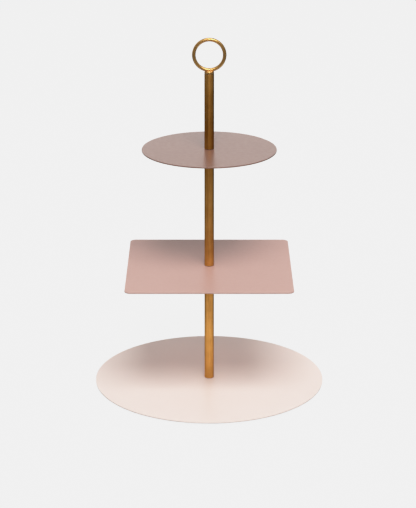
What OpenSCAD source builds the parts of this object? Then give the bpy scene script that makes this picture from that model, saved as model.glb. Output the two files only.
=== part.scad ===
// Three-tier cake stand: a round base plate, a square middle plate and a small round top plate
// on a pole of three brass tubes, with a ring handle. Each tube end holds a threaded insert, and
// studs through the plates' centre holes screw the stand together. Millimetres, +Z up, origin on
// the surface the stand rests on, on the pole's axis.

/* [Plates] */
// Diameter of the round base plate
base_d = 305; // [240:1:340]
// Side of the square middle plate
square_side = 216; // [160:1:240]
// Corner radius of the square plate
corner_r = 8; // [3:0.5:20]
// Diameter of the round top plate
top_d = 175; // [120:1:220]
// Thickness of the sheet steel plates
sheet_t = 1.5; // [1.2:0.1:3]
// Diameter of the hole in the middle of each plate
plate_hole_d = 6.6; // [6.4:0.1:8]

/* [Pole] */
// Outer diameter of the pole tubes
tube_d = 12.4; // [11:0.1:16]
// Wall thickness of the tubes
tube_wall = 1.2; // [0.8:0.1:1.5]
// Length of the lower tube and of the middle tube
long_tube_l = 157; // [100:1:200]
// Length of the upper tube
short_tube_l = 99; // [60:1:140]

/* [Ring handle] */
// Outer diameter of the ring
ring_d = 44; // [36:1:60]
// Diameter of the ring's round wire
wire_d = 4.6; // [3:0.1:6]
// Height of the cap between the pole and the ring
cap_h = 3.1; // [2.5:0.1:6]
// Depth to which the ring sinks into its saddle in the cap
ring_sink = 0.8; // [0.4:0.1:1.2]

/* [Screwed joints] */
// Outer diameter of the male threads
thread_d = 5.9; // [5.8:0.02:5.94]
// Length of the studs that pass through the plates
stud_l = 20; // [18:0.5:24]
// Thickness of the washers at the tube ends
washer_t = 0.4; // [0.3:0.1:1]
// Length of the threaded insert in each tube end
insert_l = 12; // [12:0.5:20]

/* [Feet] */
// Diameter of a foot pad
foot_d = 14; // [10:1:20]
// Height of a foot pad
foot_h = 4; // [3.5:0.5:8]
// Number of foot pads
foot_count = 4; // [3:1:6]
// Distance from the base plate's rim to the middle of a foot pad
foot_inset = 20; // [12:1:40]

/* [Hidden] */
$fn = 96;
bore_d = 6;                         // thread bores, 0.05 mm clear of the male threads all round
washer_d = tube_d - 0.4;             // 0.2 mm inside the tube all round
tube_bore_d = tube_d - 2 * tube_wall;
edge_r = 0.4;                       // rounding of the sheet's cut edges under the powder coat
lead_in = 0.5;                      // chamfer at the ends of threads and thread bores
tube_break = 0.2;                   // broken edge at the ends of the tubes
cut = 1;                            // how far a cutter runs past the face that it cuts
root = 1;                           // how far a joined shape starts inside its neighbour

foot_taper = 0.5;                   // a foot pad's side leans in by this much towards the sole
foot_bevel = 0.7;                   // bevel around the sole

cap_edge_r = 1.2;                   // rounded shoulder of the cap
cap_spigot_l = 3;                   // spigot of the cap, inside the upper tube's end
cap_spigot_d = tube_bore_d - 0.2;   // slides into the tube with 0.1 mm to spare all round
cap_bore_l = 4.4;                   // blind hole for the stud, from the spigot's end
handle_stud_l = 14;
saddle_gap = 0.02;                  // brazing film between the ring and its saddle
insert_gap = 0.6;                   // space between the cap's spigot and the insert below it

screw_head_d = 16;
screw_head_h = 2.2;
screw_head_bevel = 0.6;
screw_l = 12;
screw_socket_af = 4;
screw_socket_l = 1.6;
screw_washer_d = 18;
screw_washer_t = 1;

stack_t = 2 * washer_t + sheet_t;   // a plate with its two washers
own_grip_l = 10;                    // length of a stud held in the column that carries it

// Heights, from the resting surface up
base_z = foot_h;
lower_tube_z = base_z + sheet_t + washer_t;
square_z = lower_tube_z + long_tube_l + washer_t;
middle_tube_z = square_z + sheet_t + washer_t;
top_z = middle_tube_z + long_tube_l + washer_t;
upper_tube_z = top_z + sheet_t + washer_t;
cap_z = upper_tube_z + short_tube_l + washer_t;
ring_z = cap_z + cap_h - ring_sink + ring_d / 2;
// The upper insert of the upper tube sits below the cap's spigot
deep_insert_z = upper_tube_z + short_tube_l - cap_spigot_l - insert_gap - insert_l;

plate_colour_base = "mistyrose";
plate_colour_square = "rosybrown";
plate_colour_top = "thistle";

// ---- Shapes that repeat ----

// Flat ring on z = 0
module washer(d, hole_d, t) {
    difference() {
        cylinder(d = d, h = t);
        translate([0, 0, -cut]) cylinder(d = hole_d, h = t + 2 * cut);
    }
}

// Round sheet plate with a rounded rim, on z = 0
module round_plate(d) {
    r = d / 2;
    hole_r = plate_hole_d / 2;
    rotate_extrude($fn = 180) {
        translate([hole_r, 0]) square([r - edge_r - hole_r, sheet_t]);
        translate([hole_r, edge_r]) square([r - hole_r, sheet_t - 2 * edge_r]);
        for (z = [edge_r, sheet_t - edge_r])
            translate([r - edge_r, z]) circle(r = edge_r, $fn = 32);
    }
}

// Outline of the square plate, drawn in by inset
module square_outline(inset) {
    side = square_side - 2 * inset;
    r = corner_r - inset;
    for (turn = [0, 90]) rotate(turn) square([side, side - 2 * r], center = true);
    for (x = [-1, 1], y = [-1, 1])
        translate([x, y] * (side / 2 - r)) circle(r = r);
}

// Pole tube standing on z = 0, with its end edges broken
module tube(l) {
    outer_r = tube_d / 2;
    inner_r = tube_bore_d / 2;
    rotate_extrude()
        polygon([
            [inner_r, 0], [outer_r - tube_break, 0], [outer_r, tube_break],
            [outer_r, l - tube_break], [outer_r - tube_break, l], [inner_r, l]
        ]);
}

// Threaded insert that fills a tube's end, on z = 0
module insert() {
    r = tube_bore_d / 2;
    bore_r = bore_d / 2;
    rotate_extrude()
        polygon([
            [bore_r + lead_in, 0], [r - lead_in, 0], [r, lead_in],
            [r, insert_l - lead_in], [r - lead_in, insert_l], [bore_r + lead_in, insert_l],
            [bore_r, insert_l - lead_in], [bore_r, lead_in]
        ]);
}

// Threaded rod of length l on z = 0, drawn at its outer diameter
module stud(l) {
    r = thread_d / 2;
    rotate_extrude()
        polygon([
            [0, 0], [r - lead_in, 0], [r, lead_in],
            [r, l - lead_in], [r - lead_in, l], [0, l]
        ]);
}

// ---- Base ----

module foot_pads() color("gainsboro")
    for (i = [0 : foot_count - 1])
        rotate(45 + i * 360 / foot_count)
            translate([base_d / 2 - foot_inset, 0, 0])
                rotate_extrude()
                    polygon([
                        [0, 0], [foot_d / 2 - foot_taper - foot_bevel, 0],
                        [foot_d / 2 - foot_taper, foot_bevel],
                        [foot_d / 2, foot_h], [0, foot_h]
                    ]);

module base_plate() color(plate_colour_base)
    translate([0, 0, base_z]) round_plate(base_d);

// Screw from below: flat head with a hex socket, and a threaded shank
module base_screw() color("goldenrod")
    translate([0, 0, base_z - screw_washer_t - screw_head_h])
        difference() {
            union() {
                rotate_extrude()
                    polygon([
                        [0, 0], [screw_head_d / 2 - screw_head_bevel, 0],
                        [screw_head_d / 2, screw_head_bevel],
                        [screw_head_d / 2, screw_head_h], [0, screw_head_h]
                    ]);
                translate([0, 0, screw_head_h - root]) stud(screw_l + root);
            }
            translate([0, 0, -cut])
                cylinder(d = screw_socket_af / cos(30), h = screw_socket_l + cut, $fn = 6);
        }

module base_screw_washer() color("silver")
    translate([0, 0, base_z - screw_washer_t])
        washer(screw_washer_d, plate_hole_d, screw_washer_t);

module base_plate_washer() color("ivory")
    translate([0, 0, base_z + sheet_t]) washer(washer_d, plate_hole_d, washer_t);

// ---- Lower column and the square plate ----

module lower_tube() color("peru") translate([0, 0, lower_tube_z]) tube(long_tube_l);

module lower_tube_bottom_insert() color("gold")
    translate([0, 0, lower_tube_z]) insert();

module lower_tube_top_insert() color("gold")
    translate([0, 0, lower_tube_z + long_tube_l - insert_l]) insert();

module square_plate_lower_washer() color("ivory")
    translate([0, 0, square_z - washer_t]) washer(washer_d, plate_hole_d, washer_t);

module square_plate() color(plate_colour_square)
    translate([0, 0, square_z])
        difference() {
            union() {
                translate([0, 0, edge_r])
                    linear_extrude(sheet_t - 2 * edge_r) square_outline(0);
                linear_extrude(sheet_t) square_outline(edge_r);
                rounded_square_edges(edge_r);
                rounded_square_edges(sheet_t - edge_r);
            }
            translate([0, 0, -cut]) cylinder(d = plate_hole_d, h = sheet_t + 2 * cut);
        }

// Round bead of radius edge_r along the square plate's outline, at height z
module rounded_square_edges(z) {
    straight = square_side - 2 * corner_r;
    for (turn = [0 : 90 : 270])
        rotate(turn) {
            translate([square_side / 2 - edge_r, straight / 2, z])
                rotate([90, 0, 0]) cylinder(r = edge_r, h = straight, $fn = 32);
            translate([1, 1, 0] * straight / 2 + [0, 0, z])
                rotate_extrude(angle = 90)
                    translate([corner_r - edge_r, 0]) circle(r = edge_r, $fn = 32);
        }
}

module square_plate_upper_washer() color("ivory")
    translate([0, 0, square_z + sheet_t]) washer(washer_d, plate_hole_d, washer_t);

// ---- Middle column and the top plate ----

module middle_joint_stud() color("goldenrod")
    translate([0, 0, middle_tube_z + own_grip_l - stud_l]) stud(stud_l);

module middle_tube() color("peru") translate([0, 0, middle_tube_z]) tube(long_tube_l);

module middle_tube_bottom_insert() color("gold")
    translate([0, 0, middle_tube_z]) insert();

module middle_tube_top_insert() color("gold")
    translate([0, 0, middle_tube_z + long_tube_l - insert_l]) insert();

module top_plate_lower_washer() color("ivory")
    translate([0, 0, top_z - washer_t]) washer(washer_d, plate_hole_d, washer_t);

module top_plate() color(plate_colour_top)
    translate([0, 0, top_z]) round_plate(top_d);

module top_plate_upper_washer() color("ivory")
    translate([0, 0, top_z + sheet_t]) washer(washer_d, plate_hole_d, washer_t);

// ---- Upper column ----

module upper_joint_stud() color("goldenrod")
    translate([0, 0, upper_tube_z + own_grip_l - stud_l]) stud(stud_l);

module upper_tube() color("peru") translate([0, 0, upper_tube_z]) tube(short_tube_l);

module upper_tube_bottom_insert() color("gold")
    translate([0, 0, upper_tube_z]) insert();

module upper_tube_top_insert() color("gold")
    translate([0, 0, deep_insert_z]) insert();

// ---- Ring handle ----

module handle_washer() color("ivory")
    translate([0, 0, cap_z - washer_t])
        washer(washer_d, tube_bore_d, washer_t);

module handle_stud() color("goldenrod")
    translate([0, 0, cap_z - cap_spigot_l + cap_bore_l - handle_stud_l]) stud(handle_stud_l);

// Ring of round wire standing in the XZ plane
module wire_ring(wire_r) {
    translate([0, 0, ring_z])
        rotate([90, 0, 0])
            rotate_extrude($fn = 128)
                translate([ring_d / 2 - wire_d / 2, 0]) circle(r = wire_r, $fn = 48);
}

module handle_cap() color("peru")
    difference() {
        translate([0, 0, cap_z])
            rotate_extrude() {
                translate([0, -cap_spigot_l])
                    square([cap_spigot_d / 2, cap_spigot_l + root]);
                square([tube_d / 2, cap_h - cap_edge_r]);
                square([tube_d / 2 - cap_edge_r, cap_h]);
                translate([tube_d / 2 - cap_edge_r, cap_h - cap_edge_r])
                    circle(r = cap_edge_r, $fn = 48);
            }
        translate([0, 0, cap_z - cap_spigot_l - cut])
            cylinder(d = bore_d, h = cap_bore_l + cut);
        wire_ring(wire_d / 2 + saddle_gap);
    }

module handle_ring() color("goldenrod") wire_ring(wire_d / 2);

foot_pads();
base_plate();
base_screw();
base_screw_washer();
base_plate_washer();
lower_tube();
lower_tube_bottom_insert();
lower_tube_top_insert();
square_plate_lower_washer();
square_plate();
square_plate_upper_washer();
middle_joint_stud();
middle_tube();
middle_tube_bottom_insert();
middle_tube_top_insert();
top_plate_lower_washer();
top_plate();
top_plate_upper_washer();
upper_joint_stud();
upper_tube();
upper_tube_bottom_insert();
upper_tube_top_insert();
handle_washer();
handle_stud();
handle_cap();
handle_ring();
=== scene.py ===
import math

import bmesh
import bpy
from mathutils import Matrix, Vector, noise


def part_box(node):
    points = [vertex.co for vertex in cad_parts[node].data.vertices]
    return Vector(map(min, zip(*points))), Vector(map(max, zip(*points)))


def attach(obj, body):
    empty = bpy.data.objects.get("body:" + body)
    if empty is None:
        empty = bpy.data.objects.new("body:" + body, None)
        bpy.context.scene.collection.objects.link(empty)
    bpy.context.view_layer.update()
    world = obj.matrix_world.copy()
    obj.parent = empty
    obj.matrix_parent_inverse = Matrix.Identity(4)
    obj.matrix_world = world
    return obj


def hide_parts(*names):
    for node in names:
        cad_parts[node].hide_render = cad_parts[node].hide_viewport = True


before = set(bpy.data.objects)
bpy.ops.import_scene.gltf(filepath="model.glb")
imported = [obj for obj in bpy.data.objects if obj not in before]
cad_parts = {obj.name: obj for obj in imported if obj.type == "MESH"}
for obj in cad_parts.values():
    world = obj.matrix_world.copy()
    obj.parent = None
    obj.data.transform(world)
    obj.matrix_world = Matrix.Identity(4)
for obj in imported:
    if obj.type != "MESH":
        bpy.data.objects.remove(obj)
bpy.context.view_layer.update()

# The looks of a three-tier cake stand. Everything is in metres in the frame's coordinates: +Z up, the
# pole on the Z axis, the stand resting on z = 0. Places and outer sizes come from the frame's boxes.
# The constants below hold what a box can't say, such as a bore or the rounding of an edge.

MM = 0.001
TURN = 2 * math.pi

# ---- Sizes inside the frame's boxes ----

PLATE_HOLE_R = 3.3 * MM
PLATE_EDGE_R = 0.4 * MM
SQUARE_CORNER_R = 8 * MM
SHEET_WAVE = 0.05 * MM          # how far the thin sheet is from dead flat
TUBE_WALL = 1.2 * MM
TUBE_EDGE = 0.2 * MM
CAP_EDGE_R = 1.2 * MM
CAP_SPIGOT_R = 4.9 * MM
CAP_BORE_R = 3 * MM
CAP_BORE_L = 4.4 * MM
BRAZE_R = 0.7 * MM              # hollow fillet of brazing metal between the cap and the ring
SOCKET_FLAT = 2 * MM            # half the hex socket's width across flats
SOCKET_L = 1.6 * MM

# M6 thread. A ridge's outline is a list of (place along the axis, radius) points from its middle.
PITCH = 1 * MM
CREST = 0.057 * MM              # half the flat of a crest or a root
MALE_FOOT = 0.374 * MM          # half a ridge's width where it meets the wall
FEMALE_FOOT = 0.340 * MM
MALE_ROOT_R = 2.40 * MM
MALE_CREST_R = 2.95 * MM
FEMALE_CREST_R = 2.56 * MM
FEMALE_ROOT_R = 3.05 * MM
MALE_RIDGE = [(-MALE_FOOT, MALE_ROOT_R), (-CREST, MALE_CREST_R),
              (CREST, MALE_CREST_R), (MALE_FOOT, MALE_ROOT_R)]
FEMALE_RIDGE = [(-FEMALE_FOOT, FEMALE_CREST_R), (-CREST, FEMALE_ROOT_R),
                (CREST, FEMALE_ROOT_R), (FEMALE_FOOT, FEMALE_CREST_R)]

ROUND_STEPS = 5                 # facets in a rounded edge
PLATE_STEPS = 192               # facets round a plate
TUBE_STEPS = 96                 # round a tube, a washer or the cap
THREAD_STEPS = 48               # round a thread, and what is made with it
SHARP = math.radians(34)        # edges that turn by more than this stay crisp
WELD = 0.001 * MM               # points closer than this become one


# ---- Reading the frame ----

def height(node):
    """Lowest and highest z of a CAD node at rest."""
    low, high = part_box(node)
    return low.z, high.z


def radius(node):
    """Greatest distance of a CAD node's surface from the pole's axis."""
    return max(math.hypot(v.co.x, v.co.y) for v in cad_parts[node].data.vertices)


# ---- Mesh building ----

def skin(bm, loops, closed=False):
    """Joins loops of points with faces, one to the next. A loop of a single point closes an end."""
    made = [[bm.verts.new(p) for p in loop] for loop in loops]
    pairs = list(zip(made, made[1:]))
    if closed:
        pairs.append((made[-1], made[0]))
    for a, b in pairs:
        count = max(len(a), len(b))
        for i in range(count):
            j = (i + 1) % count
            corners = [a[i % len(a)], a[j % len(a)], b[j % len(b)], b[i % len(b)]]
            bm.faces.new(list(dict.fromkeys(corners)))


def circle(r, z, steps):
    if r == 0:
        return [(0, 0, z)]
    return [(r * math.cos(TURN * i / steps), r * math.sin(TURN * i / steps), z) for i in range(steps)]


def lathe(bm, outline, steps, closed=False):
    """Turns an outline of (radius, z) points about the pole's axis."""
    skin(bm, [circle(r, z, steps) for r, z in outline], closed)


def rounded(corners, closed=False):
    """The outline through (radius, z, rounding) corners, each rounded by an arc with a holding point
    on both sides, which keeps the flat faces beside it flat in the shading."""
    hold = 1.5                  # how far off the holding points are, in times the arc's reach
    outline = []
    count = len(corners)
    for i, (x, z, rounding) in enumerate(corners):
        at = Vector((x, z))
        if rounding == 0 or (not closed and i in (0, count - 1)):
            outline.append((x, z))
            continue
        back = (Vector(corners[i - 1][:2]) - at).normalized()
        on = (Vector(corners[(i + 1) % count][:2]) - at).normalized()
        half = back.angle(on) / 2
        reach = rounding / math.tan(half)
        centre = at + (back + on).normalized() * (rounding / math.sin(half))
        start, end = at + back * reach, at + on * reach
        outline.append(tuple(at + back * reach * hold))
        for k in range(ROUND_STEPS + 1):
            spoke = (start - centre).lerp(end - centre, k / ROUND_STEPS).normalized()
            outline.append(tuple(centre + spoke * rounding))
        outline.append(tuple(at + on * reach * hold))
    return outline


def thread(bm, low, high, ridge, end_r):
    """A wall with a right-hand thread between two flat ends, where it is a plain circle of end_r.
    All threads here share one phase, so a stud and its insert mesh, and they stay in mesh because a
    screwed joint lifts by one pitch a turn."""
    inward = end_r > max(r for _, r in ridge)
    spare = 2                   # turns past each end, which the ends cut flat
    first = math.floor(low / PITCH) - spare
    last = math.ceil(high / PITCH) + spare
    chain = [(n * PITCH + along, r) for n in range(first, last) for along, r in ridge]
    per_turn = len(ridge)

    def point(k, i):
        z0, r = chain[k]
        z = min(max(z0 + PITCH * i / THREAD_STEPS, low), high)
        depth = min(z - low, high - z)
        r = max(r, end_r - depth) if inward else min(r, end_r + depth)
        angle = TURN * i / THREAD_STEPS
        return (r * math.cos(angle), r * math.sin(angle), z)

    grid = [[bm.verts.new(point(k, i)) for i in range(THREAD_STEPS)] for k in range(len(chain))]
    for k in range(len(chain) - per_turn - 1):
        for i in range(THREAD_STEPS):
            # after a full turn the wall goes on one pitch further up
            j, up = ((i + 1, 0) if i + 1 < THREAD_STEPS else (0, per_turn))
            corners = [grid[k][i], grid[k + up][j], grid[k + up + 1][j], grid[k + 1][i]]
            heights = [v.co.z for v in corners]
            if max(heights) > low and min(heights) < high:
                bm.faces.new(corners)


def finished(name, bm, material, body, replaced=None):
    """Welds and shades a mesh, and puts it in the scene as a piece that rides on a body."""
    bmesh.ops.remove_doubles(bm, verts=bm.verts, dist=WELD)
    bmesh.ops.delete(bm, geom=[v for v in bm.verts if not v.link_faces], context="VERTS")
    bmesh.ops.recalc_face_normals(bm, faces=bm.faces)
    for face in bm.faces:
        face.smooth = True
    for edge in bm.edges:
        edge.smooth = edge.is_manifold and edge.calc_face_angle() < SHARP
    mesh = bpy.data.meshes.new(name)
    bm.to_mesh(mesh)
    bm.free()
    mesh.materials.append(material["material"])
    piece = bpy.data.objects.new(name, mesh)
    bpy.context.scene.collection.objects.link(piece)
    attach(piece, body)
    if replaced:
        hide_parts(replaced)
    return piece


# ---- Node materials ----

# Painted shade and light along the pole, as (share of a tube's length from its foot, level) stops.
# A low level paints the brass darker where a tube is shaded or mirrors dark surroundings: high on
# the lower and middle tubes under the plates above them, and at the upper tube's foot and along it.
# A high level paints it lighter low down, where it mirrors the lit plates.
TUBE_PAINTED_SHADE = {
    "lower_tube": [(0.30, 0.58), (0.90, 0.27)],
    "middle_tube": [(0.0, 0.55), (0.10, 0.48), (0.25, 0.40), (0.60, 0.34), (1.0, 0.20)],
    "upper_tube": [(0.0, 0.12), (0.20, 0.06), (0.60, 0.10), (1.0, 0.27)],
}


def new_material(name, slot):
    """A material with its node tree and shader. Slot names the record's slot that it stands for; it is
    kept in the returned dict, and nothing here reads it.
    """
    material = bpy.data.materials.new(name)
    material.use_nodes = True
    tree = material.node_tree
    return {"material": material, "slot": slot, "tree": tree, "shader": tree.nodes["Principled BSDF"]}


def add(m, kind, inputs=None, **settings):
    """Adds a node. Inputs are numbers, colours or the output sockets that feed them."""
    node = m["tree"].nodes.new("ShaderNode" + kind)
    for key, value in settings.items():
        setattr(node, key, value)
    for key, value in (inputs or {}).items():
        plug(m, socket(node.inputs, key), value)
    return node


def socket(sockets, key):
    """The enabled socket of a name or number. A Mix node has several of the same name."""
    if isinstance(key, int):
        return sockets[key]
    return next(s for s in sockets if s.enabled and s.name == key)


def plug(m, into, value):
    if isinstance(value, bpy.types.NodeSocket):
        m["tree"].links.new(value, into)
    else:
        into.default_value = value


def shader(m, **inputs):
    for key, value in inputs.items():
        plug(m, m["shader"].inputs[key.replace("_", " ")], value)


def product(m, a, b):
    """The product of two numbers."""
    return add(m, "Math", {0: a, 1: b}, operation="MULTIPLY").outputs[0]


def blend(m, factor, a, b):
    """The number a where the factor is 0, b where it is 1."""
    return socket(add(m, "Mix", {"Factor": factor, "A": a, "B": b}).outputs, "Result")


def place(m, stretch=(1, 1, 1)):
    """Coordinates in the piece's own space, in metres, stretched along an axis for streaks."""
    coords = add(m, "TexCoord").outputs["Object"]
    return add(m, "Mapping", {"Vector": coords, "Scale": stretch}).outputs["Vector"]


def grain(m, size, detail=2.0, where=None):
    """Noise whose features are about size metres across."""
    where = where or place(m)
    return add(m, "TexNoise", {"Vector": where, "Scale": 1 / size, "Detail": detail}).outputs["Fac"]


def ramp(m, factor, low, high, at=(0.35, 0.65)):
    """Blends two colours, or two numbers, over a stretch of a factor."""
    stretch = {"Value": factor, "From Min": at[0], "From Max": at[1]}
    if isinstance(low, tuple):
        share = add(m, "MapRange", stretch).outputs["Result"]
        mix = add(m, "Mix", {"Factor": share, "A": (*low, 1), "B": (*high, 1)}, data_type="RGBA")
        return socket(mix.outputs, "Result")
    return add(m, "MapRange", {**stretch, "To Min": low, "To Max": high}).outputs["Result"]


def graded(m, factor, stops):
    """A level that runs through (place, level) stops along a factor from 0 to 1."""
    grade = add(m, "ValToRGB", {"Fac": factor})
    levels = grade.color_ramp.elements
    while len(levels) > 1:
        levels.remove(levels[0])
    for i, (at, level) in enumerate(stops):
        stop = levels[0] if i == 0 else levels.new(at)
        stop.position = at
        stop.color = (level, level, level, 1)
    return grade.outputs["Color"]


def bump(m, fields):
    """Chains bumps, each a (height socket, depth in metres) pair."""
    normal = None
    for field, depth in fields:
        inputs = {"Height": field, "Strength": 1.0, "Distance": depth}
        if normal:
            inputs["Normal"] = normal
        normal = add(m, "Bump", inputs).outputs["Normal"]
    return normal


def powder_coat(name, slot, tone, deep, rough=(0.30, 0.36), clear=0.0):
    """Satin powder coat: a faint orange peel, and a tone that drifts a little across the sheet. Rough
    is the range of its roughness, and clear is how much of a clear top coat it has."""
    m = new_material(name, slot)
    drift = grain(m, 45 * MM, 3)
    peel = grain(m, 1.1 * MM, 2)
    flow = grain(m, 5 * MM, 2)
    shader(m, Base_Color=ramp(m, drift, deep, tone), Roughness=ramp(m, flow, *rough), IOR=1.5,
           Coat_Weight=clear, Coat_Roughness=0.33,
           Normal=bump(m, [(flow, 0.006 * MM), (peel, 0.006 * MM)]))
    return m


def tube_painted_shade(m):
    """Painted shade and light by height on the pole, from the pole's table of stops: the brass is made
    darker where the pole is shaded or mirrors dark surroundings, lighter where it mirrors the lit plates.
    """
    up = add(m, "SeparateXYZ", {"Vector": add(m, "TexCoord").outputs["Object"]}).outputs["Z"]
    stops = []
    for name, places in TUBE_PAINTED_SHADE.items():
        low, high = height(name)
        stops += [(low + (high - low) * share, shade_level) for share, shade_level in places]
    return graded(m, up, stops)


def patina(m, wear_and_shade, clouds, scratches, dark, bright, colour_at, rough, rough_at):
    """Shades brass that turns from dark to bright and grows smoother as its factor rises: rubbing, and on
    the pole painted shade and light as well. The two at pairs say over which stretch of it that happens."""
    shader(m, Base_Color=ramp(m, wear_and_shade, dark, bright, colour_at), Metallic=1.0,
           Roughness=ramp(m, wear_and_shade, *rough, rough_at), Specular_Tint=(0.6, 0.45, 0.3, 1),
           Coat_Roughness=0.3, Normal=bump(m, [(clouds, 0.01 * MM), (scratches, 0.002 * MM)]))


def antique_tube(name, slot):
    """Brass under a brown patina that is rubbed thin in streaks, and painted darker and lighter along its
    height: painted shade where the pole is shaded or mirrors dark surroundings, painted light low
    down. Fine marks round the tube smear what it mirrors along its length."""
    m = new_material(name, slot)
    streaks = grain(m, 1.3 * MM, 4, place(m, (1, 1, 0.03)))
    clouds = grain(m, 14 * MM, 3)
    scratches = grain(m, 0.25 * MM, 3, place(m, (1, 1, 0.02)))
    mixed = blend(m, 0.4, streaks, clouds)
    # Streaky rubbing plus painted shade and light by height along the pole.
    wear_and_shade = add(m, "Math", {0: mixed, 1: tube_painted_shade(m)}, operation="ADD").outputs[0]
    round_it = add(m, "Tangent", direction_type="RADIAL", axis="Z").outputs["Tangent"]
    shader(m, Anisotropic=0.55, Anisotropic_Rotation=0.25, Tangent=round_it, Coat_Weight=0.03)
    patina(m, wear_and_shade, clouds, scratches, dark=(0.30, 0.125, 0.019), bright=(0.74, 0.39, 0.105),
           colour_at=(0.52, 1.12), rough=(0.46, 0.38), rough_at=(0.70, 1.00))
    return m


def antique_wire(name, slot):
    """The same brass on the small parts: evenly rubbed, smoother and lacquered."""
    m = new_material(name, slot)
    streaks = grain(m, 1.3 * MM, 4)
    clouds = grain(m, 14 * MM, 3)
    scratches = grain(m, 0.25 * MM, 3)
    shader(m, Coat_Weight=1.0)
    patina(m, blend(m, 0.4, streaks, clouds), clouds, scratches, dark=(0.30, 0.127, 0.023),
           bright=(0.76, 0.43, 0.115), colour_at=(0.17, 0.70), rough=(0.42, 0.34), rough_at=(0.35, 0.65))
    return m


def plain_brass(name, slot):
    """Turned brass, bright and unlacquered, with fine turning marks."""
    m = new_material(name, slot)
    marks = grain(m, 0.3 * MM, 2, place(m, (0.05, 0.05, 1)))
    stain = grain(m, 3 * MM, 3)
    shader(m, Base_Color=ramp(m, stain, (0.62, 0.40, 0.15), (0.83, 0.62, 0.30)), Metallic=1.0,
           Roughness=ramp(m, marks, 0.22, 0.36), Normal=bump(m, [(marks, 0.004 * MM)]))
    return m


def zinc_steel(name, slot):
    """Zinc-plated steel with a faint bluish bloom."""
    m = new_material(name, slot)
    bloom = grain(m, 2.5 * MM, 3)
    grit = grain(m, 0.2 * MM, 2)
    shader(m, Base_Color=ramp(m, bloom, (0.50, 0.53, 0.57), (0.70, 0.70, 0.68)), Metallic=1.0,
           Roughness=ramp(m, grit, 0.25, 0.42), Normal=bump(m, [(grit, 0.003 * MM)]))
    return m


def clear_nylon(name, slot):
    """Almost clear, slightly milky nylon."""
    m = new_material(name, slot)
    cloud = grain(m, 1.5 * MM, 2)
    shader(m, Base_Color=ramp(m, cloud, (0.80, 0.79, 0.75), (0.90, 0.89, 0.86)), IOR=1.53,
           Transmission_Weight=0.92, Roughness=ramp(m, cloud, 0.12, 0.25),
           Normal=bump(m, [(cloud, 0.01 * MM)]))
    return m


def foot_rubber(name, slot):
    """Pale, slightly translucent polyurethane with a matt moulded skin."""
    m = new_material(name, slot)
    skin_grain = grain(m, 0.4 * MM, 2)
    tone = grain(m, 6 * MM, 2)
    shader(m, Base_Color=ramp(m, tone, (0.55, 0.54, 0.51), (0.66, 0.65, 0.62)), IOR=1.48,
           Roughness=ramp(m, skin_grain, 0.50, 0.66), Normal=bump(m, [(skin_grain, 0.012 * MM)]))
    return m


BASE_COAT = powder_coat("cream_powder_coat", "base_coat", (0.865, 0.732, 0.670), (0.855, 0.720, 0.658))
SQUARE_COAT = powder_coat("pink_powder_coat", "square_coat", (0.543, 0.338, 0.293), (0.533, 0.330, 0.285),
                          rough=(0.37, 0.43))
TOP_COAT = powder_coat("mauve_powder_coat", "top_coat", (0.235, 0.116, 0.082), (0.228, 0.112, 0.079),
                       clear=0.62)
POLE_BRASS = antique_tube("antique_brass_tube", "antique_brass")
RING_BRASS = antique_wire("antique_brass_wire", "antique_brass")
BRASS = plain_brass("turned_brass", "plain_brass")
ZINC = zinc_steel("zinc_steel", "zinc_steel")
NYLON = clear_nylon("clear_nylon", "clear_nylon")
RUBBER = foot_rubber("foot_rubber", "foot_rubber")


# ---- Plates ----

def wave(x, y, z):
    """How far the sheet lies above its true plane. It lies true round the pole."""
    true_r = 12 * MM
    fade = 40 * MM
    swell = 90 * MM
    away = min(1, max(0, (math.hypot(x, y) - true_r) / fade))
    return SHEET_WAVE * noise.noise(Vector((x, y, z)) / swell) * away * away * (3 - 2 * away)


def disc_outline(r):
    """Outline of a disc, drawn in by inset."""
    def outline(inset):
        return [(x, y) for x, y, _ in circle(r - inset, 0, PLATE_STEPS)]
    return outline


def square_outline(half, corner_r, side_steps=32, corner_steps=14):
    """Outline of a square with rounded corners, drawn in by inset."""
    def outline(inset):
        straight = half - corner_r
        r = corner_r - inset
        points = []
        for c, s in ((1, 0), (0, 1), (-1, 0), (0, -1)):     # cosine and sine of each quarter turn
            side = [(half - inset, straight * (2 * i / side_steps - 1)) for i in range(side_steps)]
            turns = [math.pi / 2 * i / corner_steps for i in range(corner_steps)]
            arc = [(straight + r * math.cos(a), straight + r * math.sin(a)) for a in turns]
            points += [(c * x - s * y, s * x + c * y) for x, y in side + arc]
        return points
    return outline


def plate(name, outline, material, body):
    """Sheet plate with a hole at its middle and a rounded rim under the coat."""
    low, high = height(name)
    rim = outline(PLATE_EDGE_R * 2)
    hole = [tuple(Vector(p).normalized() * PLATE_HOLE_R) for p in outline(0)]
    # the flat faces' rings of points, as shares of the way from the hole to the rim
    shares = [0, 0.006, 0.03, 0.06, 0.11, 0.18, 0.27, 0.38, 0.5, 0.62, 0.74, 0.85, 0.93, 0.975, 1]

    def face(z):
        return [[(h[0] + (p[0] - h[0]) * t, h[1] + (p[1] - h[1]) * t, z) for h, p in zip(hole, rim)]
                for t in shares]

    loops = face(high)
    arc_steps = 2 * ROUND_STEPS
    for k in range(arc_steps + 1):
        a = math.pi * k / arc_steps
        inset = PLATE_EDGE_R * (1 - math.sin(a))
        middle = high - PLATE_EDGE_R if k <= ROUND_STEPS else low + PLATE_EDGE_R
        loops.append([(x, y, middle + PLATE_EDGE_R * math.cos(a)) for x, y in outline(inset)])
        if k == ROUND_STEPS:                # the upright wall between the two arcs
            loops.append([(x, y, low + PLATE_EDGE_R) for x, y in outline(inset)])
    loops += reversed(face(low))
    bm = bmesh.new()
    skin(bm, [[(x, y, z + wave(x, y, z)) for x, y, z in loop] for loop in loops], closed=True)
    return finished(name + "_sheet", bm, material, body, name)


# ---- Tubes, inserts, washers and studs ----

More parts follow.
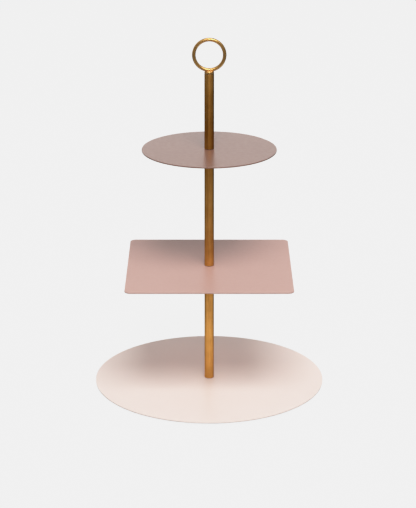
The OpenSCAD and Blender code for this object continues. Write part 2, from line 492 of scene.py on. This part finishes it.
def tube(name, body):
    """Tube with its outer edges broken."""
    low, high = height(name)
    outer = radius(name)
    inner = outer - TUBE_WALL
    corners = [(inner, low, 0), (outer, low, TUBE_EDGE), (outer, high, TUBE_EDGE), (inner, high, 0)]
    bm = bmesh.new()
    lathe(bm, rounded(corners, closed=True), TUBE_STEPS, closed=True)
    return finished(name + "_wall", bm, POLE_BRASS, body, name)


def insert(name, body):
    """Turned plug that fills a tube's end, threaded right through."""
    low, high = height(name)
    outer = radius(name)
    mouth_r = 3.5 * MM
    chamfer = 0.5 * MM
    bm = bmesh.new()
    lathe(bm, [(mouth_r, low), (outer - chamfer, low), (outer, low + chamfer), (outer, high - chamfer),
               (outer - chamfer, high), (mouth_r, high)], THREAD_STEPS)
    thread(bm, low, high, FEMALE_RIDGE, mouth_r)
    return finished(name + "_plug", bm, BRASS, body, name)


def washer(name, inner, material, body):
    """Flat ring with all edges rounded, round a hole of radius inner."""
    low, high = height(name)
    outer = radius(name)
    rounding = (high - low) * 0.3
    corners = [(r, z, rounding) for r, z in ((inner, low), (outer, low), (outer, high), (inner, high))]
    bm = bmesh.new()
    lathe(bm, rounded(corners, closed=True), TUBE_STEPS, closed=True)
    return finished(name + "_ring", bm, material, body, name)


def stud(name, body):
    """Threaded rod with flat ends."""
    low, high = height(name)
    bm = bmesh.new()
    thread(bm, low, high, MALE_RIDGE, MALE_ROOT_R)
    lathe(bm, [(0, low), (MALE_ROOT_R, low)], THREAD_STEPS)
    lathe(bm, [(MALE_ROOT_R, high), (0, high)], THREAD_STEPS)
    return finished(name + "_rod", bm, ZINC, body, name)


def base_screw(body):
    """Flat-headed screw with a hex socket, from below."""
    low, high = height("base_screw")
    under_head = height("base_screw_washer")[0]
    head_r = radius("base_screw")
    head_edge = 0.6 * MM
    back_edge = 0.2 * MM
    lead = 0.15 * MM            # chamfer at the socket's mouth
    socket_floor = low + SOCKET_L

    def hexagon(flat, z):
        """Points round a hexagon, at the angles that a circle's points have."""
        angles = [TURN * i / THREAD_STEPS for i in range(THREAD_STEPS)]
        sizes = [flat / math.cos(a % (TURN / 6) - TURN / 12) for a in angles]
        return [(s * math.cos(a), s * math.sin(a), z) for s, a in zip(sizes, angles)]

    inside = [[(0, 0, socket_floor)], hexagon(SOCKET_FLAT, socket_floor), hexagon(SOCKET_FLAT, low + lead),
              hexagon(SOCKET_FLAT + lead, low)]
    outside = rounded([(SOCKET_FLAT * 1.5, low, 0), (head_r, low, head_edge),
                       (head_r, under_head, back_edge), (MALE_ROOT_R, under_head, 0)])
    bm = bmesh.new()
    skin(bm, inside + [circle(r, z, THREAD_STEPS) for r, z in outside])
    thread(bm, under_head, high, MALE_RIDGE, MALE_ROOT_R)
    lathe(bm, [(MALE_ROOT_R, high), (0, high)], THREAD_STEPS)
    return finished("base_screw_turned", bm, ZINC, body, "base_screw")


def foot_pads(body):
    """The pads lie on a circle, one in each quarter."""
    low, high = height("foot_pads")
    pad_r = 7 * MM
    sole_r = pad_r - 0.85 * MM
    sole_edge = 0.6 * MM
    outline = rounded([(0, low, 0), (sole_r, low, sole_edge), (pad_r, high, 0), (0, high, 0)])
    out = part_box("foot_pads")[1].x - pad_r
    bm = bmesh.new()
    for x, y in ((out, out), (-out, out), (-out, -out), (out, -out)):
        before = set(bm.verts)
        lathe(bm, outline, THREAD_STEPS)
        for v in set(bm.verts) - before:
            v.co += Vector((x, y, 0))
    return finished("foot_pads_moulded", bm, RUBBER, body, "foot_pads")


# ---- Ring handle ----

def ring_size():
    """Centre height, centreline radius and wire radius of the ring."""
    low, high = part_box("handle_ring")
    wire = (high.y - low.y) / 2
    return (low.z + high.z) / 2, (high.z - low.z) / 2 - wire, wire


def ring(body):
    """Ring of round wire that stands upright along X."""
    centre, middle_r, wire = ring_size()
    steps, wire_steps = 160, 40
    loops = []
    for i in range(steps):
        a = TURN * i / steps
        spokes = [TURN * k / wire_steps for k in range(wire_steps)]
        loops.append([((middle_r + wire * math.cos(s)) * math.cos(a), wire * math.sin(s),
                       centre + (middle_r + wire * math.cos(s)) * math.sin(a)) for s in spokes])
    bm = bmesh.new()
    skin(bm, loops, closed=True)
    return finished("handle_ring_wire", bm, RING_BRASS, body, "handle_ring")


def cap(body):
    """Rounded cap with a spigot in the pole's end and a blind bore for the stud."""
    spigot_low, top = height("handle_cap")
    seat = height("handle_washer")[1]
    outer = radius("handle_cap")
    bore_top = spigot_low + CAP_BORE_L
    spigot_edge = 0.3 * MM
    corners = [(0, bore_top, 0), (CAP_BORE_R, bore_top, 0), (CAP_BORE_R, spigot_low, 0),
               (CAP_SPIGOT_R, spigot_low, spigot_edge), (CAP_SPIGOT_R, seat, 0), (outer, seat, TUBE_EDGE),
               (outer, top, CAP_EDGE_R), (0, top, 0)]
    bm = bmesh.new()
    lathe(bm, rounded(corners), TUBE_STEPS)
    return finished("handle_cap_turned", bm, RING_BRASS, body, "handle_cap")


def average(points):
    """The point in the middle of some points."""
    return tuple(sum((Vector(p) for p in points), Vector()) / len(points))


def braze(body):
    """Hollow fillet of brazing metal along both sides of the ring where it sits on the cap. It is
    fullest at the middle and a quarter of that at its ends."""
    centre, middle_r, wire = ring_size()
    top = height("handle_cap")[1]
    reach = radius("handle_cap") - CAP_EDGE_R
    taper = 0.75
    into_ring = 0.3 * MM
    into_cap = 0.2 * MM
    steps, arc_steps = 24, 6
    bm = bmesh.new()
    for side in (-1, 1):
        loops = []
        for i in range(steps + 1):
            x = reach * (2 * i / steps - 1)
            wire_z = centre - math.sqrt(middle_r ** 2 - x ** 2)
            size = BRAZE_R * (1 - taper * abs(x / reach) ** 3)
            out = math.sqrt((wire + size) ** 2 - (wire_z - top - size) ** 2)
            touch = Vector((out, size - (wire_z - top))).normalized() * wire
            start = Vector((out, 0))
            end = Vector((touch.x, wire_z - top + touch.y))
            middle = Vector((out, size))
            arc = []
            for k in range(arc_steps + 1):
                spoke = (start - middle).lerp(end - middle, k / arc_steps).normalized() * size
                arc.append(middle + spoke)
            inner = end.x - into_ring
            buried = [Vector((inner, end.y)), Vector((inner, -into_cap)), Vector((out, -into_cap))]
            loops.append([(x, side * p.x, top + p.y) for p in arc + buried])
        skin(bm, [[average(loops[0])]] + loops + [[average(loops[-1])]])
    return finished("handle_braze", bm, RING_BRASS, body)


# ---- Putting the stand together ----

foot_pads("base")
plate("base_plate", disc_outline(radius("base_plate")), BASE_COAT, "base")
washer("base_screw_washer", PLATE_HOLE_R, ZINC, "screw_joint")
base_screw("base_screw")

WASHER_BODIES = {
    "base_plate_washer": "lower_joint",
    "square_plate_lower_washer": "lower_column",
    "square_plate_upper_washer": "middle_joint",
    "top_plate_lower_washer": "middle_column",
    "top_plate_upper_washer": "upper_joint",
}
for washer_name, washer_body in WASHER_BODIES.items():
    washer(washer_name, PLATE_HOLE_R, NYLON, washer_body)

for column in ("lower", "middle", "upper"):
    column_body = column + "_column"
    tube(column + "_tube", column_body)
    insert(column + "_tube_bottom_insert", column_body)
    insert(column + "_tube_top_insert", column_body)

stud("middle_joint_stud", "middle_column")
stud("upper_joint_stud", "upper_column")

square_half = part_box("square_plate")[1].x
plate("square_plate", square_outline(square_half, SQUARE_CORNER_R), SQUARE_COAT, "square_tier")
plate("top_plate", disc_outline(radius("top_plate")), TOP_COAT, "top_tier")

washer("handle_washer", radius("upper_tube") - TUBE_WALL, NYLON, "handle_joint")
stud("handle_stud", "handle")
cap("handle")
ring("handle")
braze("handle")


# ---- Stage, light and camera ----

BACKDROP = 1.01                 # brightness of the plain pale backdrop


def staged(name, bm):
    """Puts a mesh in the scene as part of the stage."""
    mesh = bpy.data.meshes.new(name)
    bm.to_mesh(mesh)
    bm.free()
    made = bpy.data.objects.new(name, mesh)
    bpy.context.scene.collection.objects.link(made)
    return made


def disc(name, r, z, steps=128):
    """Flat disc of the stage."""
    bm = bmesh.new()
    skin(bm, [circle(r, z, steps), [(0, 0, z)]])
    return staged(name, bm)


def seen_from_above(m, look):
    """Makes the material show a shader's output on its upper side, and nothing on its underside."""
    links = m["tree"].links
    clear = add(m, "BsdfTransparent")
    sides = add(m, "MixShader", {"Fac": add(m, "NewGeometry").outputs["Backfacing"]})
    links.new(look.outputs[0], sides.inputs[1])
    links.new(clear.outputs[0], sides.inputs[2])
    links.new(sides.outputs[0], m["tree"].nodes["Material Output"].inputs["Surface"])


def floor():
    """Pale floor that glows enough to look even, with a little of it left to take the stand's shadow.
    It is seen from above only."""
    made = disc("floor", 6.0, 0)
    m = new_material("pale_floor", None)
    catch = 0.04                # share of the light that falls on it which it sends back
    glow = add(m, "Emission", {"Color": (1, 1, 1, 1), "Strength": BACKDROP * (1 - catch)})
    matt = add(m, "BsdfDiffuse", {"Color": (catch, catch, catch, 1)})
    both = add(m, "AddShader")
    m["tree"].links.new(glow.outputs[0], both.inputs[0])
    m["tree"].links.new(matt.outputs[0], both.inputs[1])
    seen_from_above(m, both)
    made.data.materials.append(m["material"])
    made.visible_diffuse = False
    made.visible_glossy = False
    made.visible_transmission = False


def table_glow():
    """What the floor sends back up at the stand. Reflections see it bright close round the stand,
    dimmer further out, and dimmer again on both sides, behind and far in front. Matt surfaces get
    most of it from behind the stand, and a little from under the base plate."""
    made = disc("table_glow", 3.0, -1 * MM)
    m = new_material("table_glow", None)
    spot = add(m, "TexCoord").outputs["Object"]
    away = add(m, "VectorMath", {0: spot}, operation="LENGTH").outputs["Value"]
    reach = 2.0
    outward = add(m, "MapRange", {"Value": away, "From Max": reach}).outputs["Result"]
    # (metres from the pole, brightness)
    rings = [(0.42, 1.35), (0.65, 0.85), (0.90, 0.50), (1.05, 0.50), (1.25, 0.60)]
    by_ring = graded(m, outward, [(r / reach, level) for r, level in rings])
    axes = add(m, "SeparateXYZ", {"Vector": spot})
    x, y = axes.outputs["X"], axes.outputs["Y"]
    shares = [ramp(m, x, 1.0, 0.5, (0.25, 0.6)),            # to the right
              ramp(m, x, 0.6, 1.0, (-0.40, -0.15)),         # to the left
              ramp(m, y, 1.0, 0.25, (-0.10, 0.12)),         # behind
              ramp(m, y, 0.45, 1.0, (-0.95, -0.45))]        # far in front
    mirrored = by_ring
    for share in shares:
        mirrored = product(m, mirrored, share)
    matt = product(m, by_ring, ramp(m, y, 0.15, 2.7, (-0.05, 0.12)))
    base_r = radius("base_plate")
    edge = 3 * MM
    from_under = 0.5
    under = ramp(m, away, 1.0, 0.0, (base_r - edge, base_r + edge))
    matt = blend(m, under, matt, from_under)
    strength = blend(m, add(m, "LightPath").outputs["Is Diffuse Ray"], mirrored, matt)
    seen_from_above(m, add(m, "Emission", {"Color": (1.0, 0.985, 0.965, 1), "Strength": strength}))
    made.data.materials.append(m["material"])
    made.visible_camera = False
    made.visible_shadow = False


def backdrop():
    """Dome of the floor's colour round everything, seen by the camera alone."""
    bm = bmesh.new()
    bmesh.ops.create_uvsphere(bm, u_segments=48, v_segments=24, radius=20)
    made = staged("backdrop", bm)
    m = new_material("backdrop", None)
    glow = add(m, "Emission", {"Color": (1, 1, 1, 1), "Strength": BACKDROP})
    m["tree"].links.new(glow.outputs[0], m["tree"].nodes["Material Output"].inputs["Surface"])
    made.data.materials.append(m["material"])
    for ray in ("diffuse", "glossy", "transmission", "shadow"):
        setattr(made, "visible_" + ray, False)


def direction(azimuth, elevation):
    """Unit vector towards a place seen from the stand. Azimuth 0 is the camera's side, +X is at 90."""
    a, e = math.radians(azimuth), math.radians(elevation)
    return Vector((math.sin(a) * math.cos(e), -math.cos(a) * math.cos(e), math.sin(e)))


def softbox():
    """The one key light: a large softbox high in front, a little to the right."""
    lamp = bpy.data.lights.new("softbox", "AREA")
    lamp.shape = "RECTANGLE"
    away = 3.5
    half_width = math.radians(14.2)         # as seen from the stand
    half_height = math.radians(12.1)
    brightness = 13.95
    aim = Vector((0, 0, 0.15))
    lamp.size = 2 * away * math.tan(half_width)
    lamp.size_y = 2 * away * math.tan(half_height)
    lamp.energy = brightness * math.pi * lamp.size * lamp.size_y
    made = bpy.data.objects.new("softbox", lamp)
    back = direction(azimuth=8.95, elevation=55.2)
    made.location = aim + back * away
    made.rotation_mode = "QUATERNION"
    made.rotation_quaternion = back.to_track_quat("Z", "Y")
    bpy.context.scene.collection.objects.link(made)


def surroundings():
    """Dim studio light from all round, a bright paper wall low behind the stand, a dark room low in
    front of it, and a dark curtain on the right, from beside the stand towards its back."""
    world = bpy.data.worlds.new("studio")
    world.use_nodes = True
    m = {"tree": world.node_tree}
    dim = 0.45
    in_the_room = 0.12
    on_the_wall = 1.5
    past_the_curtain = 0.1
    axes = add(m, "SeparateXYZ", {"Vector": add(m, "TexCoord").outputs["Generated"]})
    behind = ramp(m, axes.outputs["Y"], 0.0, 1.0, (0.55, 0.85))
    low_down = ramp(m, axes.outputs["Z"], 1.0, 0.0, (0.22, 0.31))
    wall = product(m, behind, low_down)
    facing = ramp(m, axes.outputs["Y"], 1.0, 0.0, (-0.8, -0.3))
    not_high = ramp(m, axes.outputs["Z"], 1.0, 0.0, (0.35, 0.6))
    room = product(m, facing, not_high)
    level = ramp(m, room, dim, in_the_room, (0, 1))
    level = blend(m, wall, level, on_the_wall)
    right = ramp(m, axes.outputs["X"], 0.0, 1.0, (0.35, 0.65))
    beside = ramp(m, axes.outputs["Y"], 0.0, 1.0, (-0.15, 0.15))
    curtain = product(m, product(m, right, beside), not_high)
    level = product(m, level, ramp(m, curtain, 1.0, past_the_curtain, (0, 1)))
    background = world.node_tree.nodes["Background"]
    plug(m, background.inputs["Strength"], level)
    background.inputs["Color"].default_value = (1, 1, 1, 1)
    bpy.context.scene.world = world


def camera():
    """A long lens from a little above, aimed at the pole."""
    aim = Vector((-1.6 * MM, 0, height("base_plate")[1] + 174.8 * MM))
    away = 2.493
    lens = bpy.data.cameras.new("camera")
    lens.sensor_width = 36
    lens.lens = 133.9
    back = direction(azimuth=0, elevation=18.69)
    made = bpy.data.objects.new("camera", lens)
    made.location = aim + back * away
    made.rotation_mode = "QUATERNION"
    made.rotation_quaternion = back.to_track_quat("Z", "Y")
    bpy.context.scene.collection.objects.link(made)
    bpy.context.scene.camera = made


def tone():
    """A camera's gentle shoulder, so that the pale base keeps its colour in full light."""
    view = bpy.context.scene.view_settings
    view.view_transform = "Standard"
    view.use_curve_mapping = True
    view.curve_mapping.use_clip = False
    points = view.curve_mapping.curves[3].points
    points[1].location = (1.8, 1.0)         # light this strong is shown as white
    for light, shown in ((0.30, 0.295), (0.60, 0.60), (0.80, 0.765), (1.0, 0.875), (1.3, 0.96)):
        points.new(light, shown)
    view.curve_mapping.update()


floor()
table_glow()
backdrop()
softbox()
surroundings()
camera()
tone()
